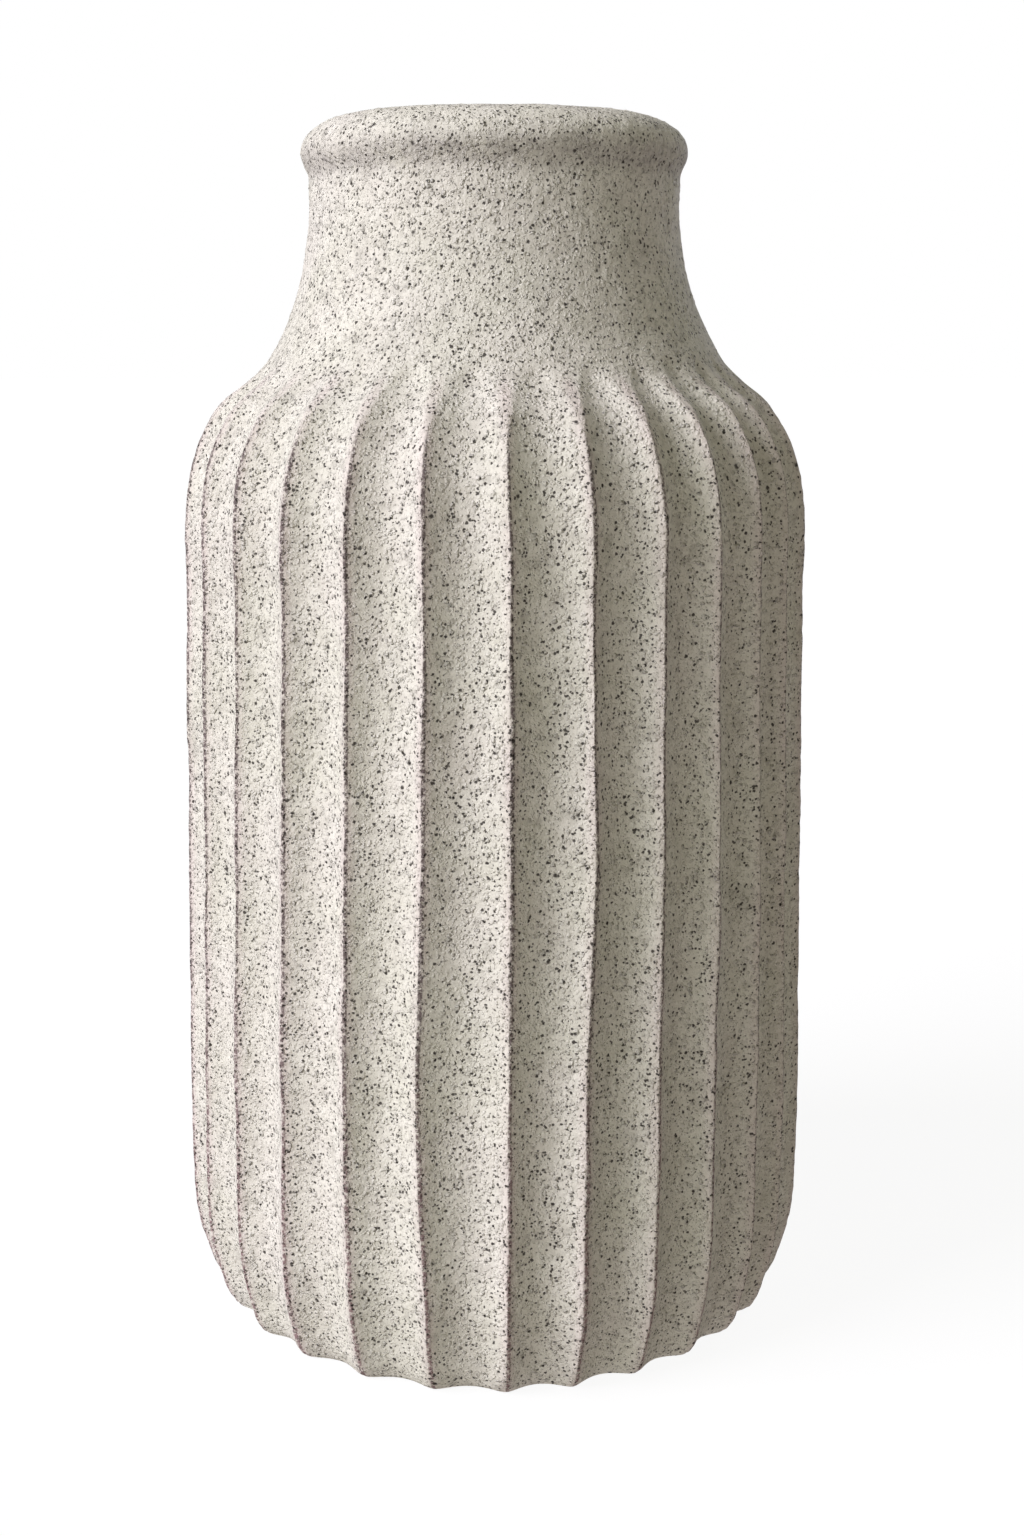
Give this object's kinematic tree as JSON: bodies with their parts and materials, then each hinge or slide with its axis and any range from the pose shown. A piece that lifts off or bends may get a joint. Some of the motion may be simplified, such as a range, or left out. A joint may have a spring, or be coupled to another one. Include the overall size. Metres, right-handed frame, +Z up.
{
  "type": "vase",
  "caption": "Tall fluted stoneware vase with a straight body, sloping shoulder, plain flaring neck and rolled rim.",
  "frame": {"origin": "centre of the foot ring, on the plane that the vase stands on", "axes": "+Z up along the axis of the vase, the front towards -Y"},
  "size_m": [0.2078, 0.2077, 0.38],
  "materials": {
    "slipped_stoneware": "matt off-white slip over coarse grogged stoneware, sandy to the touch, with dark specks",
    "bare_stoneware": "bare fired clay under the foot, slipped on its fluted edge"
  },
  "bodies": {
    "root": {"base_slab": "bare_stoneware", "lower_wall": "slipped_stoneware", "middle_wall": "slipped_stoneware", "upper_wall": "slipped_stoneware", "shoulder": "slipped_stoneware", "neck_collar": "slipped_stoneware", "rim_roll": "slipped_stoneware"}
  },
  "joints": []
}
